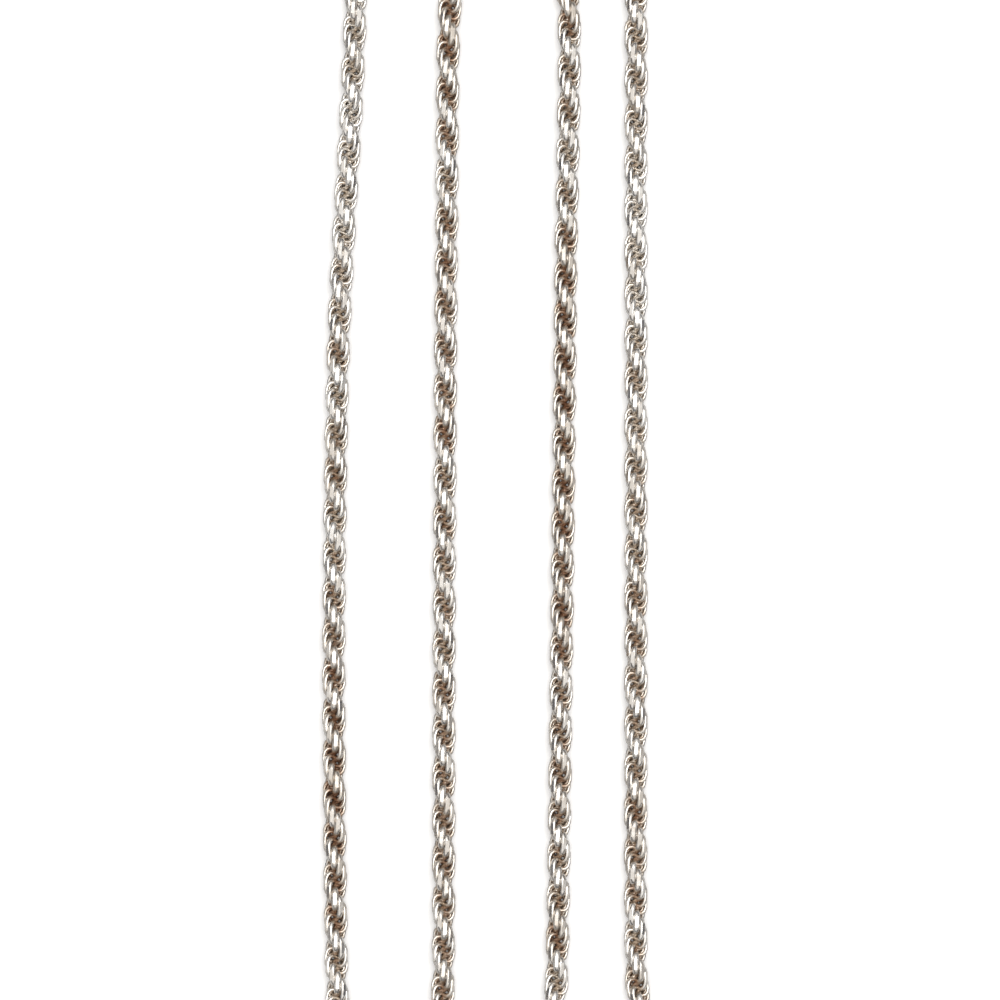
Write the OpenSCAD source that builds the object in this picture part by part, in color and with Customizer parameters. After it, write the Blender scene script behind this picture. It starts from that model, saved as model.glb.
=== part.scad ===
// Rope chain: a closed necklace of twisted, interlocking silver links, laid in two flat folds.
// Lengths are millimetres. The chain lies on the plane z = 0, and +Y is the photograph's up.

/* [Rope] */
// Width of the twisted rope across its lobes
rope_w = 2.5; // [2:0.1:3]

/* [Barrel clasp] */
// Length of the clasp from mouth to mouth
clasp_l = 14; // [11:0.5:16]
// Wall round the cup in each end of the clasp
clasp_wall = 0.33; // [0.25:0.01:0.6]
// Depth of the cup that an end of the rope is seated in
cup_depth = 2.5; // [1.5:0.1:4]
// Rounding of the clasp's outer edges
rim_r = 0.2; // [0.05:0.05:0.25]

/* [Fit] */
// Gap round the rope in its cup
cup_gap = 0.12; // [0.1:0.01:0.2]
// Gap between the rope's end and the cup's floor
end_gap = 0.1; // [0.1:0.01:0.3]

/* [Hidden] */

rope_sides = 8;
rings_per_span = 2;
rope_r = rope_w / 2;
corner_r = rope_r / cos(180 / rope_sides);
cup_r = corner_r + cup_gap;
clasp_r = cup_r + clasp_wall;
// Where the clasp's axis lies along Y, at the head of the outer turn
clasp_y = 61.2;
// Degrees between the points of the clasp's rounded rim
rim_step = 15;
rope_end = clasp_l / 2 - cup_depth + end_gap;
// The rope leaves the cup straight for this far
lead = 1.5;

// The route of the rope between the clasp's mouths, as [x, y, lift]: x and y lie on the surface, and
// lift is 0 where the rope lies on it and 1 where its middle is as high as the clasp's.
ROUTE = [
    [-11.0, 60.0, 0.5], [-12.4, 57.4, 0.1], [-12.8, 53.0, 0],
    [-13.5, 36.0, 0], [-14.8, 12.0, 0], [-15.3, -18.0, 0], [-15.0, -52.0, 0],
    [-14.7, -56.6, 0], [-13.2, -60.2, 0], [-9.8, -61.75, 0], [-6.4, -60.2, 0], [-4.9, -56.6, 0],
    [-4.6, -52.0, 0], [-4.5, -20.0, 0], [-4.3, 16.0, 0], [-3.8, 45.0, 0],
    [-2.2, 49.4, 0], [1.9, 51.2, 0], [6.0, 49.4, 0],
    [7.6, 45.0, 0], [7.4, 16.0, 0], [7.0, -20.0, 0], [6.5, -52.0, 0],
    [6.0, -56.8, 0], [7.2, -60.2, 0], [10.5, -61.75, 0], [13.8, -60.2, 0], [15.2, -56.8, 0],
    [14.4, -52.0, 0], [14.3, -14.0, 0], [14.3, 26.0, 0], [14.2, 52.0, 0],
    [13.4, 57.2, 0.1], [11.6, 60.0, 0.5]
];
// The rope's two halves meet at the middle of ROUTE, the top of the inner turn
middle = len(ROUTE) / 2;

mouth_steps = [rope_end, clasp_l / 2, clasp_l / 2 + lead];
points = concat(
    [for (x = mouth_steps) [-x, clasp_y, clasp_r]],
    [for (p = ROUTE) [p.x, p.y, rope_r + p[2] * (clasp_r - rope_r)]],
    [for (i = [len(mouth_steps) - 1:-1:0]) [mouth_steps[i], clasp_y, clasp_r]]
);
last = len(points) - 1;
middle_ring = rings_per_span * (middle + len(mouth_steps));

function unit(v) = v / norm(v);
function chord(i) = points[i + 1] - points[i];
// The direction of the curve at a point leans towards its shorter neighbouring chord
function slope(i) =
    i == 0 ? chord(0)
    : i == last ? chord(last - 1)
    : let (before = chord(i - 1), after = chord(i))
        min(norm(before), norm(after))
        * unit(unit(before) * norm(after) + unit(after) * norm(before));
function along(i, t) =
    (2 * t ^ 3 - 3 * t ^ 2 + 1) * points[i] + (t ^ 3 - 2 * t ^ 2 + t) * slope(i)
    + (3 * t ^ 2 - 2 * t ^ 3) * points[i + 1] + (t ^ 3 - t ^ 2) * slope(i + 1);
function heading(i, t) =
    unit((6 * t ^ 2 - 6 * t) * (points[i] - points[i + 1]) + (3 * t ^ 2 - 4 * t + 1) * slope(i)
    + (3 * t ^ 2 - 2 * t) * slope(i + 1));

function span_of(ring) = min(floor(ring / rings_per_span), last - 1);
function share_of(ring) = ring / rings_per_span - span_of(ring);
function ring_points(ring) =
    let (
        middle_point = along(span_of(ring), share_of(ring)),
        forward = heading(span_of(ring), share_of(ring)),
        side = unit(cross([0, 0, 1], forward)),
        up = cross(forward, side)
    )
    [for (j = [0:rope_sides - 1])
        let (a = 360 * (j + 0.5) / rope_sides)
        middle_point + corner_r * (cos(a) * side + sin(a) * up)];

module rope(first_ring, last_ring) {
    count = last_ring - first_ring;
    corners = [for (r = [first_ring:last_ring]) each ring_points(r)];
    walls = [for (r = [0:count - 1], j = [0:rope_sides - 1])
        let (
            a = r * rope_sides + j,
            b = r * rope_sides + (j + 1) % rope_sides
        )
        each [[a, a + rope_sides, b + rope_sides], [a, b + rope_sides, b]]];
    near_end = [for (j = [0:rope_sides - 1]) j];
    far_end = [for (j = [rope_sides - 1:-1:0]) count * rope_sides + j];
    polyhedron(corners, concat(walls, [near_end], [far_end]), convexity = 10);
}

module rope_chain_left() {
    color([0.82, 0.80, 0.76]) rope(0, middle_ring);
}

module rope_chain_right() {
    color([0.76, 0.74, 0.71]) rope(middle_ring, rings_per_span * last);
}

// A plain closed barrel: the two ends of the rope are seated in its cups
module barrel_clasp() {
    half_l = clasp_l / 2;
    color([0.88, 0.87, 0.85])
        translate([0, clasp_y, clasp_r])
        rotate([0, 90, 0])
        rotate_extrude($fn = 64)
        polygon(concat(
            [[0, cup_depth - half_l], [cup_r, cup_depth - half_l], [cup_r, -half_l]],
            [for (a = [0:rim_step:90])
                [clasp_r - rim_r + rim_r * sin(a), rim_r - half_l - rim_r * cos(a)]],
            [for (a = [90:-rim_step:0])
                [clasp_r - rim_r + rim_r * sin(a), half_l - rim_r + rim_r * cos(a)]],
            [[cup_r, half_l], [cup_r, half_l - cup_depth], [0, half_l - cup_depth]]
        ));
}

rope_chain_left();
rope_chain_right();
barrel_clasp();
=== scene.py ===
# %% [markdown]
# # A silver rope chain, laid in two flat folds
# A rope chain looks like two twisted strands, but it is one row of rings. Each ring holds the next few, is
# turned half way round from its neighbour, and sits a little further along. This lesson makes one ring,
# threads more than a thousand of them along the necklace's route, and then gives the silver its polish and
# the brown tarnish of its hollows. The frame comes first: it is the necklace at its real size, with a plain
# tube for each half of the rope, and the links made here keep to the space of their tube, give or take a few
# hundredths of a millimetre.

# %% Load the frame
import math
import random

import bmesh
import bpy
from mathutils import Matrix, Vector
from mathutils.geometry import interpolate_bezier


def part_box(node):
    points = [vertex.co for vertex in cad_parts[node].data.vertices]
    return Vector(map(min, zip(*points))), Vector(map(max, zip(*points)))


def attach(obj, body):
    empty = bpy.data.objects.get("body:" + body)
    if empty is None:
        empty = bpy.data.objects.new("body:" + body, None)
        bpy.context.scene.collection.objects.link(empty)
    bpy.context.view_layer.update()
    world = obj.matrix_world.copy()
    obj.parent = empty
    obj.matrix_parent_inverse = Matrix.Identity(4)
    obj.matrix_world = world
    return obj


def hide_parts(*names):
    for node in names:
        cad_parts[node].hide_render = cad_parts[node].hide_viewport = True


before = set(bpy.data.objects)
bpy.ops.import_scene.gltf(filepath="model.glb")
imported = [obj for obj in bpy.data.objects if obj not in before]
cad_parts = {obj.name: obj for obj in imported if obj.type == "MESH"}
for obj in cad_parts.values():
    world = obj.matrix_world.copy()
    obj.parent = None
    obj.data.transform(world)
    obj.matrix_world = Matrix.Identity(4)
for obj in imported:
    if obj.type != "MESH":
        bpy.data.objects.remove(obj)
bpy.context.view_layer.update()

MM = 0.001
clasp_low, clasp_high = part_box("barrel_clasp")

# %% [markdown]
# In Blender an object is a place in the scene, and its data is the camera, light or mesh that stands there.
# Everything in this lesson needs both, so a small helper joins them. A second one turns a finished bmesh into
# a mesh.

# %% Helpers for objects and meshes
def add_object(name, data):
    thing = bpy.data.objects.new(name, data)
    bpy.context.scene.collection.objects.link(thing)
    return thing


def finish_mesh(bm, name):
    mesh = bpy.data.meshes.new(name)
    bm.to_mesh(mesh)
    bm.free()
    return mesh


# %% [markdown]
# The camera looks straight down, as it does in the photograph. A long lens is what a photographer uses for
# flat jewellery, and it shows hardly any perspective on a thing this thin. Its distance follows from the lens
# and from the width of what the picture shows at the height of the rope's middle line.

# %% Camera
PICTURE_W = 98 * MM
PICTURE_X = 0.98 * MM
PICTURE_Y = -4.5 * MM
LENS = 180
SENSOR_W = 36
ROPE_R = 1.16 * MM

camera_data = bpy.data.cameras.new("camera")
camera_data.lens = LENS
camera_data.sensor_width = SENSOR_W
camera = add_object("camera", camera_data)
camera_height = PICTURE_W * LENS / SENSOR_W + ROPE_R
camera.location = (PICTURE_X, PICTURE_Y, camera_height)
bpy.context.scene.camera = camera
print("the camera is", round(camera_height, 3), "m above the surface")

# %% [markdown]
# The rope's middle line follows the route of the tube in the frame: a few points, with a smooth curve
# through them. The tube is as wide as the widest lobes in the photograph. Most are narrower, so the rope is
# drawn a little slimmer here, and lies a little lower. The line leaves the clasp's left mouth, runs down and
# up twice, and comes back to the right mouth. The table gives x, y and the lift of each point: x and y are in
# millimetres, and the lift is 0 where the rope lies on the table and 1 at the height of the clasp's middle.
# Three more points on the clasp's axis take each end into its mouth.
#
# In a Bezier curve each point has a handle on both sides, and a handle is a third of the speed of the line
# there. The speed leans towards the shorter of the two chords that meet at the point, so that the line
# doesn't swing out where a long straight run meets a tight turn.

# %% The rope's route
ROUTE = [
    (-11.0, 60.0, 0.5), (-12.4, 57.4, 0.1), (-12.8, 53.0, 0),
    (-13.5, 36.0, 0), (-14.8, 12.0, 0), (-15.3, -18.0, 0), (-15.0, -52.0, 0),
    (-14.7, -56.6, 0), (-13.2, -60.2, 0), (-9.8, -61.75, 0), (-6.4, -60.2, 0), (-4.9, -56.6, 0),
    (-4.6, -52.0, 0), (-4.5, -20.0, 0), (-4.3, 16.0, 0), (-3.8, 45.0, 0),
    (-2.2, 49.4, 0), (1.9, 51.2, 0), (6.0, 49.4, 0),
    (7.6, 45.0, 0), (7.4, 16.0, 0), (7.0, -20.0, 0), (6.5, -52.0, 0),
    (6.0, -56.8, 0), (7.2, -60.2, 0), (10.5, -61.75, 0), (13.8, -60.2, 0), (15.2, -56.8, 0),
    (14.4, -52.0, 0), (14.3, -14.0, 0), (14.3, 26.0, 0), (14.2, 52.0, 0),
    (13.4, 57.2, 0.1), (11.6, 60.0, 0.5),
]
MOUTH_X = [4.6, 7.0, 8.5]
STEPS_PER_SPAN = 32

clasp_r = (clasp_high.z - clasp_low.z) / 2
clasp_y = (clasp_high.y + clasp_low.y) / 2
mouth = [Vector((x * MM, clasp_y, clasp_r)) for x in MOUTH_X]
knots = [Vector((-p.x, p.y, p.z)) for p in mouth]
knots += [Vector((x * MM, y * MM, ROPE_R + lift * (clasp_r - ROPE_R))) for x, y, lift in ROUTE]
knots += reversed(mouth)
chords = [there - here for here, there in zip(knots, knots[1:])]


def speed(i):
    before, after = chords[max(i - 1, 0)], chords[min(i, len(chords) - 1)]
    lean = before.normalized() * after.length + after.normalized() * before.length
    return lean.normalized() * min(before.length, after.length)


route = [knots[0]]
for i in range(len(chords)):
    handles = knots[i] + speed(i) / 3, knots[i + 1] - speed(i + 1) / 3
    route += interpolate_bezier(knots[i], *handles, knots[i + 1], STEPS_PER_SPAN + 1)[1:]
reached = [0.0]
for here, there in zip(route, route[1:]):
    reached.append(reached[-1] + (there - here).length)
ROPE_L = reached[-1]
HALF_L = reached[len(knots) // 2 * STEPS_PER_SPAN]
print("the rope is", round(ROPE_L / MM, 1), "mm long, and its halves meet at", round(HALF_L / MM, 1), "mm")

# %% [markdown]
# Two questions come up again and again: where is the rope at a certain distance along it, and how far along
# does it pass a certain height? The first answer comes with the directions there: forward, sideways and up.

# %% Places on the route
def place_at(s):
    i = next((n for n in range(len(route) - 2) if reached[n + 1] > s), len(route) - 2)
    share = (s - reached[i]) / (reached[i + 1] - reached[i])
    forward = (route[i + 1] - route[i]).normalized()
    side = Vector((0, 0, 1)).cross(forward).normalized()
    up = forward.cross(side)
    turn = Matrix((forward, side, up)).transposed().to_4x4()
    return Matrix.Translation(route[i].lerp(route[i + 1], share)) @ turn


def distance_at(run, y):
    i = [n for n in range(len(route) - 1) if (route[n].y - y) * (route[n + 1].y - y) <= 0][run]
    share = (y - route[i].y) / (route[i + 1].y - route[i].y)
    return reached[i] + share * (reached[i + 1] - reached[i])


print("the left run passes the picture's middle at", round(distance_at(0, PICTURE_Y) / MM, 1), "mm")

# %% [markdown]
# A rope chain is twisted by hand or on a simple machine, so its lay isn't quite even. The photograph shows
# four runs, and in each of them the strands go half way round in a slightly different distance. The table
# gives, for every run, a height at which a strand faces the camera and the length of the half turn, both in
# millimetres. A run keeps its lay from near the top of the picture to near its bottom. Through the hidden
# turn that follows, the lay changes just enough for the strands to meet the next run in step.

# %% Lay of the strands
LAY = [(43.42, 3.957), (41.66, 4.187), (43.67, 4.06), (43.03, 4.223)]
RUN_ENDS = [44.0, -52.0]

marks = []
for run, (facing_y, half_turn) in enumerate(LAY):
    facing = distance_at(run, facing_y * MM)
    ends = sorted(distance_at(run, y * MM) for y in RUN_ENDS)
    turns = [(s - facing) / (half_turn * MM) for s in ends]
    if marks:
        even = marks[-1][1] + (ends[0] - marks[-1][0]) / (half_turn * MM)
        whole = round(even - turns[0])
        turns = [t + whole for t in turns]
    marks += zip(ends, turns)


def half_turns(s):
    i = max([n for n in range(len(marks) - 1) if marks[n][0] <= s], default=0)
    (s0, t0), (s1, t1) = marks[i], marks[i + 1]
    return t0 + (t1 - t0) * (s - s0) / (s1 - s0)


print("the strands make", round((half_turns(ROPE_L) - half_turns(0)) / 2, 1), "whole turns")

# %% [markdown]
# One link is a ring of silver wire. A circle spun about an axis is the plain way to a ring, and it lets the
# mesh stay light: six sides round the wire and sixteen steps round the ring, because the ring is repeated
# more than a thousand times. The wire stands with a side of its hexagon facing outward, not a corner. A spin
# leaves its new edges and faces in another order every time, so they are sorted by their corners, and the
# link comes out the same in every run.
#
# In a rope the ring isn't round any more. It is longer along the rope than across, its neighbours have
# pressed it into an egg, and it leans by a few hundredths of a radian. Each point is moved by its angle round
# the ring, which is 0 on the outer side.
#
# The finished rope has been rolled to its width, so the outer side of each link is wider than the wire was,
# and flat. To roll it, every point that stands out past the rope's radius is brought back to it. The faces
# that lie wholly on that radius are the flats, the bright bars that the eye sees first. The edges round them
# are marked sharp, and all others are smooth.

# %% One link
WIRE_D = 0.42 * MM
FLAT_WIRE_W = 0.69 * MM
RING_HALF_W = 0.97 * MM
RING_HALF_L = 1.08 * MM
RING_EGG = -0.1 * MM
RING_SLANT = 0.08 * MM
RING_OUT = 0.18 * MM
RING_LEAN = -0.03
WIRE_SIDES = 6
RING_STEPS = 16


def corner_key(part):
    corners = [v.index for v in part.verts]
    return min(corners) * WIRE_SIDES * RING_STEPS + max(corners)


def make_link():
    bm = bmesh.new()
    bmesh.ops.create_circle(bm, segments=WIRE_SIDES, radius=WIRE_D / 2)
    bmesh.ops.rotate(bm, verts=bm.verts, matrix=Matrix.Rotation(math.pi / 2, 3, "Y"))
    bmesh.ops.translate(bm, verts=bm.verts, vec=(0, 0, RING_HALF_W))
    bmesh.ops.spin(bm, geom=bm.verts[:] + bm.edges[:], axis=(0, 1, 0), cent=(0, 0, 0),
                   angle=2 * math.pi, steps=RING_STEPS, use_merge=True)
    bmesh.ops.recalc_face_normals(bm, faces=bm.faces)
    bm.verts.index_update()
    for parts in (bm.edges, bm.faces):
        parts.sort(key=corner_key)
        parts.index_update()
    for v in bm.verts:
        round_ring = math.atan2(v.co.x, v.co.z)
        outward = (1 + math.cos(round_ring)) / 2
        longer = (RING_HALF_L - RING_HALF_W) * math.sin(round_ring)
        slanted = RING_SLANT * math.sin(2 * round_ring)
        v.co.x += longer + slanted
        v.co.y *= 1 + (FLAT_WIRE_W / WIRE_D - 1) * outward
        v.co.z += RING_EGG * math.cos(2 * round_ring)
    bmesh.ops.rotate(bm, verts=bm.verts, matrix=Matrix.Rotation(RING_LEAN, 3, "Z"))
    bmesh.ops.translate(bm, verts=bm.verts, vec=(0, 0, RING_OUT))
    rolled = set()
    for v in bm.verts:
        from_axis = math.hypot(v.co.y, v.co.z)
        if from_axis > ROPE_R:
            v.co.yz *= ROPE_R / from_axis
            rolled.add(v)
    flats = {face for face in bm.faces if rolled.issuperset(face.verts)}
    for face in bm.faces:
        face.smooth = True
    for edge in bm.edges:
        edge.smooth = len(flats.intersection(edge.link_faces)) != 1
    flat_count = len(flats)
    return finish_mesh(bm, "link"), flat_count


link, flat_count = make_link()
print("a link has", len(link.polygons), "faces, and", flat_count, "of them are rolled flat")

# %% [markdown]
# Each half of the rope is one mesh that holds its links. A link's turn about the rope's axis is half a turn
# for each link before it, which makes the two strands, and on top of that the slow turn of the lay. The turn
# is a negative angle, which lays the strands left-handed. A link also sits up to a few degrees askew, because
# nothing holds it but its neighbours. The links start and stop a little short of the line's ends, which
# keeps the outermost ones off the floors of the clasp's cups.
#
# The silver needs to know two things that only the rope can tell: how deep in the rope a point lies, and how
# tarnished its link is. Both are stored as attributes. Some links lie where a thumb or a collar rubs, and
# others next to them don't, so the tarnish changes from link to link. In the photograph it is also thicker
# in some stretches and thinner in others. For each of them the table gives the run, counted from 0, the
# height of its middle and how far it spreads, both in millimetres, and the film that it adds.

# %% The rope's halves
LINK_STEP = 0.3695 * MM
END_ROOM = 1.2 * MM
ASKEW = math.radians(3)
LINK_FILM = (0.25, 0.55)
STAINS = [
    (0, 34, 16, -0.25), (0, -31, 8, 0.35), (0, -46, 10, 0.1),
    (1, 43, 8, 0.15), (1, -5, 35, 0.14), (1, -46, 10, 0.08),
    (2, 44, 5, 0.15), (2, 28, 8, -0.15), (2, 10, 7, 0.15), (2, 0, 40, 0.15),
    (3, 25, 16, -0.2), (3, -45, 12, 0.12),
]
chance = random.Random(4)

link_count = int((ROPE_L - 2 * END_ROOM) / LINK_STEP) + 1
first = (ROPE_L - (link_count - 1) * LINK_STEP) / 2
distances = [first + k * LINK_STEP for k in range(link_count)]
stains = [(distance_at(run, y * MM), spread * MM, film) for run, y, spread, film in STAINS]


def stained(s):
    return sum(film * math.exp(-((s - middle) / spread) ** 2) for middle, spread, film in stains)


def make_rope(name, numbers):
    bm = bmesh.new()
    for k in numbers:
        turn = Matrix.Rotation(-math.pi * (k + half_turns(distances[k])), 4, "X")
        for axis in "XYZ":
            turn @= Matrix.Rotation(chance.uniform(-ASKEW, ASKEW), 4, axis)
        placed = link.copy()
        placed.transform(place_at(distances[k]) @ turn)
        bm.from_mesh(placed)
        bpy.data.meshes.remove(placed)
    mesh = finish_mesh(bm, name)
    hollow = mesh.attributes.new("hollow", "FLOAT", "POINT")
    depths = [1 - math.hypot(v.co.y, v.co.z) / ROPE_R for v in link.vertices]
    hollow.data.foreach_set("value", depths * len(numbers))
    tarnish = mesh.attributes.new("tarnish", "FLOAT", "POINT")
    films = [chance.uniform(*LINK_FILM) + stained(distances[k]) for k in numbers]
    tarnish.data.foreach_set("value", [film for film in films for v in link.vertices])
    rope = add_object(name, mesh)
    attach(rope, "root")
    return rope


middle_k = sum(s < HALF_L for s in distances)
rope_left = make_rope("rope_links_left", range(middle_k))
rope_right = make_rope("rope_links_right", range(middle_k, link_count))
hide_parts("rope_chain_left")
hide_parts("rope_chain_right")
print(link_count, "links, and", len(rope_left.data.polygons) + len(rope_right.data.polygons), "faces")

# %% [markdown]
# The materials are built from nodes. Four small helpers keep the cells short. Two add a node or a group and
# fill its sockets, each with a value or with another node's output. The other two start a node group with
# its sockets, and a material with its shader. A Math node that is set to MULTIPLY_ADD gives its first value
# times its second, plus its third.

# %% Helpers for nodes
def add_node(tree, kind, inputs={}, **settings):
    node = tree.nodes.new("ShaderNode" + kind)
    for key, value in settings.items():
        setattr(node, key, value)
    for socket, value in inputs.items():
        if isinstance(value, bpy.types.NodeSocket):
            tree.links.new(value, node.inputs[socket])
        else:
            node.inputs[socket].default_value = value
    return node


def add_group(tree, group, inputs):
    return add_node(tree, "Group", inputs, node_tree=group)


def start_group(name, inputs, outputs):
    tree = bpy.data.node_groups.new(name, "ShaderNodeTree")
    for label, kind in inputs.items():
        tree.interface.new_socket(label, in_out="INPUT", socket_type="NodeSocket" + kind)
    for label, kind in outputs.items():
        tree.interface.new_socket(label, in_out="OUTPUT", socket_type="NodeSocket" + kind)
    return tree, tree.nodes.new("NodeGroupInput").outputs, tree.nodes.new("NodeGroupOutput").inputs


def start_material(name):
    material = bpy.data.materials.new(name)
    material.use_nodes = True
    return material, material.node_tree, material.node_tree.nodes["Principled BSDF"]


# %% [markdown]
# Tarnish is a film that thickens with time. Where it is thin the silver turns straw yellow, then brown, and
# in the end nearly black, and it takes the polish away as it grows. Hands and clothes rub it off the outside
# of the links, so it is left in the hollows, more in some places than in others. The group turns the film's
# thickness into a colour and a roughness. Two noises make the film uneven: one in patches as long as a lobe
# or two, and one in specks about as wide as the wire. Together they are 1 on average, and the film gains or
# loses a share of what is above or below that.

# %% Tarnish, shared by both silvers
CLEAN = (0.86, 0.84, 0.81, 1)
STRAW = (0.64, 0.57, 0.49, 1)
BROWN = (0.43, 0.28, 0.19, 1)
DARK = (0.14, 0.065, 0.035, 1)
STRAW_FILM = 0.35
BROWN_FILM = 0.7
PATCH_SCALE = 160
SPECK_SCALE = 2500
NOISE_DETAIL = 2
UNEVEN = 0.45
POLISHED = 0.2
DULL = 0.6

tarnish_film, given, made = start_group(
    "tarnish_film", {"Film": "Float", "Position": "Vector"}, {"Color": "Color", "Roughness": "Float"})
patches, specks = [
    add_node(tarnish_film, "TexNoise", {"Vector": given["Position"], "Scale": scale, "Detail": NOISE_DETAIL})
    for scale in (PATCH_SCALE, SPECK_SCALE)]
noise = add_node(
    tarnish_film, "Math", {0: patches.outputs["Fac"], 1: specks.outputs["Fac"]}, operation="ADD")
change = add_node(
    tarnish_film, "Math", {0: noise.outputs[0], 1: UNEVEN, 2: -UNEVEN}, operation="MULTIPLY_ADD")
film = add_node(
    tarnish_film, "Math", {0: given["Film"], 1: change.outputs[0]}, operation="ADD", use_clamp=True)
ramp = add_node(tarnish_film, "ValToRGB", {"Fac": film.outputs[0]})
ramp.color_ramp.elements[0].color = CLEAN
ramp.color_ramp.elements[1].color = DARK
ramp.color_ramp.elements.new(STRAW_FILM).color = STRAW
ramp.color_ramp.elements.new(BROWN_FILM).color = BROWN
dulled = add_node(
    tarnish_film, "MapRange", {"Value": film.outputs[0], "To Min": POLISHED, "To Max": DULL})
tarnish_film.links.new(ramp.outputs["Color"], made["Color"])
tarnish_film.links.new(dulled.outputs["Result"], made["Roughness"])
print("the film's group has", len(tarnish_film.nodes), "nodes")

# %% [markdown]
# No drawn wire is perfectly smooth. The drawing plate, the twisting and the years leave shallow dents, and on
# polished metal even a shallow one bends a highlight. The second group gives a normal for that.

# %% Dents, shared by both silvers
DENT_SCALE = 3500
DENT_DETAIL = 1

dents, given, made = start_group("dents", {"Position": "Vector", "Depth": "Float"}, {"Normal": "Vector"})
lumps = add_node(
    dents, "TexNoise", {"Vector": given["Position"], "Scale": DENT_SCALE, "Detail": DENT_DETAIL})
bump = add_node(dents, "Bump", {"Height": lumps.outputs["Fac"], "Strength": 1, "Distance": given["Depth"]})
dents.links.new(bump.outputs["Normal"], made["Normal"])
print("the dents' group has", len(dents.nodes), "nodes")

# %% [markdown]
# The two silvers start alike, as bare metal that knows where on the object each point lies. They end alike
# too: the film gives the colour and the roughness, and the dents or the tool marks give the normal. A helper
# does each, and the cells after this one hold only what makes a silver its own.

# %% What the silvers have in common
def start_silver(name):
    material, tree, shader = start_material(name)
    shader.inputs["Metallic"].default_value = 1
    return material, tree, shader, add_node(tree, "TexCoord").outputs["Object"]


def finish_silver(tree, shader, tarnished, normal):
    tree.links.new(tarnished.outputs["Color"], shader.inputs["Base Color"])
    tree.links.new(tarnished.outputs["Roughness"], shader.inputs["Roughness"])
    tree.links.new(normal, shader.inputs["Normal"])


# %% [markdown]
# The rope's film is the tarnish of its links, and on their outer sides only a share of it is left: the rest
# has been rubbed off. Between the rubbed flats and the deep hollows the share grows with the depth, which is
# 0 at the rope's radius and 1 on its axis.

# %% Silver of the rope
HOLLOW_FROM = 0.1
HOLLOW_TO = 0.55
RUBBED = 0.3
WIRE_DENTS = 0.01 * MM

rope_silver, tree, shader, position = start_silver("rope_silver")
hollow = add_node(tree, "Attribute", attribute_name="hollow").outputs["Fac"]
worn = add_node(tree, "Attribute", attribute_name="tarnish").outputs["Fac"]
left_over = add_node(
    tree, "MapRange", {"Value": hollow, "From Min": HOLLOW_FROM, "From Max": HOLLOW_TO, "To Min": RUBBED})
film = add_node(tree, "Math", {0: worn, 1: left_over.outputs["Result"]}, operation="MULTIPLY")
tarnished = add_group(tree, tarnish_film, {"Film": film.outputs[0], "Position": position})
dented = add_group(tree, dents, {"Position": position, "Depth": WIRE_DENTS})
finish_silver(tree, shader, tarnished, dented.outputs["Normal"])
for rope in (rope_left, rope_right):
    rope.data.materials.append(rope_silver)
print("on the flats", round(100 * RUBBED), "percent of the rope's film is left")

# %% [markdown]
# The clasp is turned on a lathe, and the tool leaves rings round the barrel that are too fine to count. They
# depend on the place along the barrel only, so a noise with one dimension makes them. The clasp is handled
# every day, and its film is thin.

# %% Silver of the clasp
CLASP_FILM = 0.12
CLASP_DENTS = 0.003 * MM
TOOL_RING_SCALE = 9000
TOOL_RING_DEPTH = 0.004 * MM

clasp_silver, tree, shader, position = start_silver("clasp_silver")
tarnished = add_group(tree, tarnish_film, {"Film": CLASP_FILM, "Position": position})
dented = add_group(tree, dents, {"Position": position, "Depth": CLASP_DENTS})
along = add_node(tree, "SeparateXYZ", {"Vector": position}).outputs["X"]
rings = add_node(
    tree, "TexNoise", {"W": along, "Scale": TOOL_RING_SCALE, "Detail": NOISE_DETAIL}, noise_dimensions="1D")
turned = add_node(tree, "Bump", {
    "Height": rings.outputs["Fac"], "Distance": TOOL_RING_DEPTH, "Normal": dented.outputs["Normal"]})
finish_silver(tree, shader, tarnished, turned.outputs["Normal"])
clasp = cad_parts["barrel_clasp"]
clasp.data.materials.clear()
clasp.data.materials.append(clasp_silver)
print("the silvers share", tarnish_film.name, "and", dents.name)

# %% [markdown]
# The floor is a sheet of pale paper. In the photograph it is pure white right up to the rope, and yet the
# sides of the links are grey, so they mirrored something greyer than that white. A Light Path node gives
# both: the rays from the camera see a white paper, and all other rays see a greyer one. A photographer also
# lets the white burn out a little, so the camera's rays find a faint glow on the paper.

# %% Floor
PAPER_SEEN = 1.0
PAPER_MIRRORED = 0.6
PAPER_ROUGHNESS = 0.9
BURNT_OUT = 0.08
WHITE = (1, 1, 1, 1)
FLOOR_HALF = 2

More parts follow.
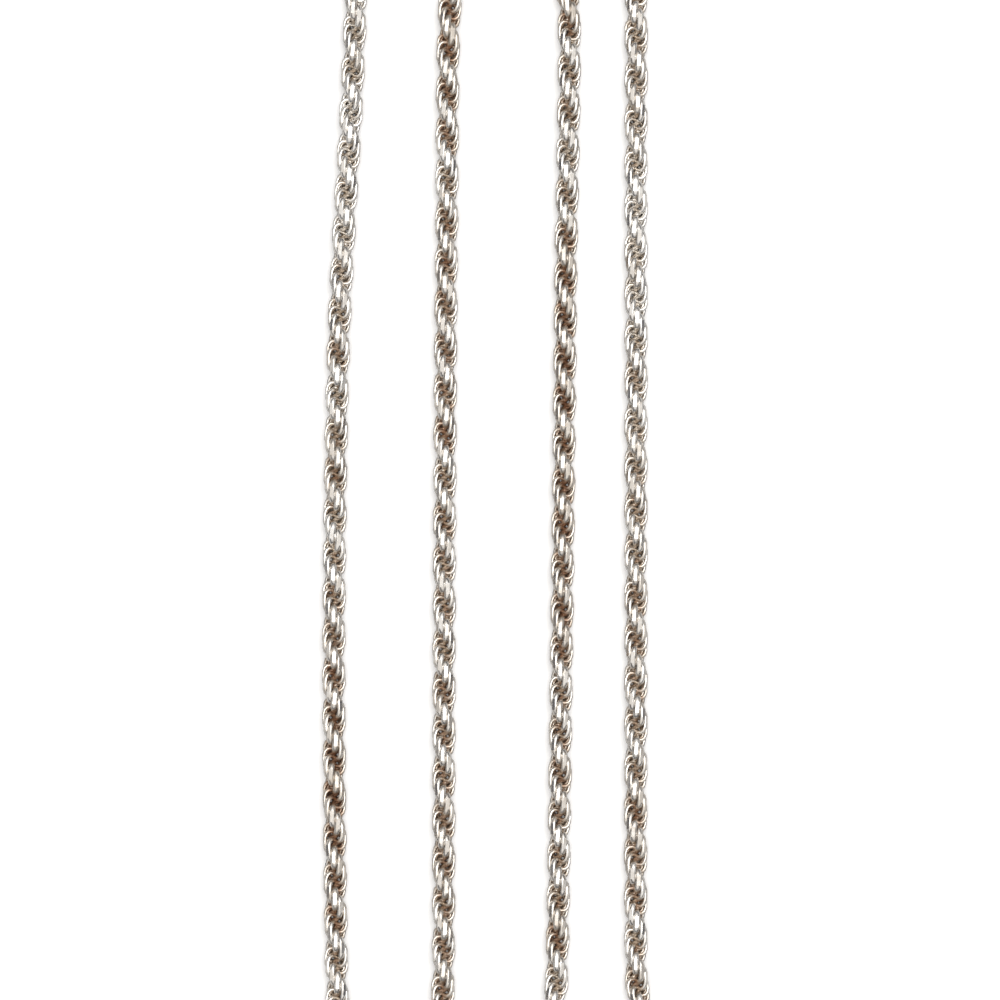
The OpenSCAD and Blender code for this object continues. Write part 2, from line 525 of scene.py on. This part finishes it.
bm = bmesh.new()
bmesh.ops.create_grid(bm, x_segments=1, y_segments=1, size=FLOOR_HALF)
floor = add_object("floor", finish_mesh(bm, "floor"))
paper, tree, shader = start_material("paper")
shader.inputs["Roughness"].default_value = PAPER_ROUGHNESS
shader.inputs["Emission Color"].default_value = WHITE
seen = add_node(tree, "LightPath").outputs["Is Camera Ray"]
shade = add_node(
    tree, "Math", {0: seen, 1: PAPER_SEEN - PAPER_MIRRORED, 2: PAPER_MIRRORED}, operation="MULTIPLY_ADD")
burnt = add_node(tree, "Math", {0: seen, 1: BURNT_OUT}, operation="MULTIPLY")
tree.links.new(shade.outputs[0], shader.inputs["Base Color"])
tree.links.new(burnt.outputs[0], shader.inputs["Emission Strength"])
floor.data.materials.append(paper)
print("the floor is", 2 * FLOOR_HALF, "m wide, and the silver mirrors", PAPER_MIRRORED, "of its light")

# %% [markdown]
# Polished silver shows its surroundings and hardly anything of its own, so the light is built for what it
# will mirror. A softbox above the table gives the white glints on the flats. A bright ceiling gives the pale
# grey of everything that faces up. Dark walls stand low all round, and since a round wire mirrors them in a
# thin line on each side, they draw the outline of every link. The world is painted by the height of the
# direction that it is seen in, which is 0 at the horizon and 1 straight up: the walls end at the first of
# the two heights, and from the second on all is ceiling.

# %% Light
SOFTBOX_POWER = 9.5
SOFTBOX_SIZE = 1.1
SOFTBOX_PLACE = (0.12, 0.25, 1.3)
ROOM_STRENGTH = 0.97
WALL_COLOR = (0.1, 0.1, 0.11, 1)
WALL_TOP = 0.3
CEILING_COLOR = (1.0, 0.98, 0.955, 1)
CEILING_FROM = 0.6

softbox_data = bpy.data.lights.new("softbox", "AREA")
softbox_data.size = SOFTBOX_SIZE
softbox_data.energy = SOFTBOX_POWER
softbox = add_object("softbox", softbox_data)
softbox.location = SOFTBOX_PLACE
softbox.rotation_euler = (-softbox.location).to_track_quat("-Z", "Y").to_euler()
softbox.visible_camera = False

world = bpy.data.worlds.new("room")
world.use_nodes = True
bpy.context.scene.world = world
tree = world.node_tree
direction = add_node(tree, "TexCoord").outputs["Generated"]
height = add_node(tree, "SeparateXYZ", {"Vector": direction}).outputs["Z"]
walls = add_node(tree, "ValToRGB", {"Fac": height})
walls.color_ramp.elements[0].position = WALL_TOP
walls.color_ramp.elements[0].color = WALL_COLOR
walls.color_ramp.elements[1].position = CEILING_FROM
walls.color_ramp.elements[1].color = CEILING_COLOR
background = tree.nodes["Background"]
background.inputs["Strength"].default_value = ROOM_STRENGTH
tree.links.new(walls.outputs["Color"], background.inputs["Color"])
bpy.context.scene.view_settings.view_transform = "Standard"
print("the softbox hangs", round(softbox.location.z, 2), "m above the table")
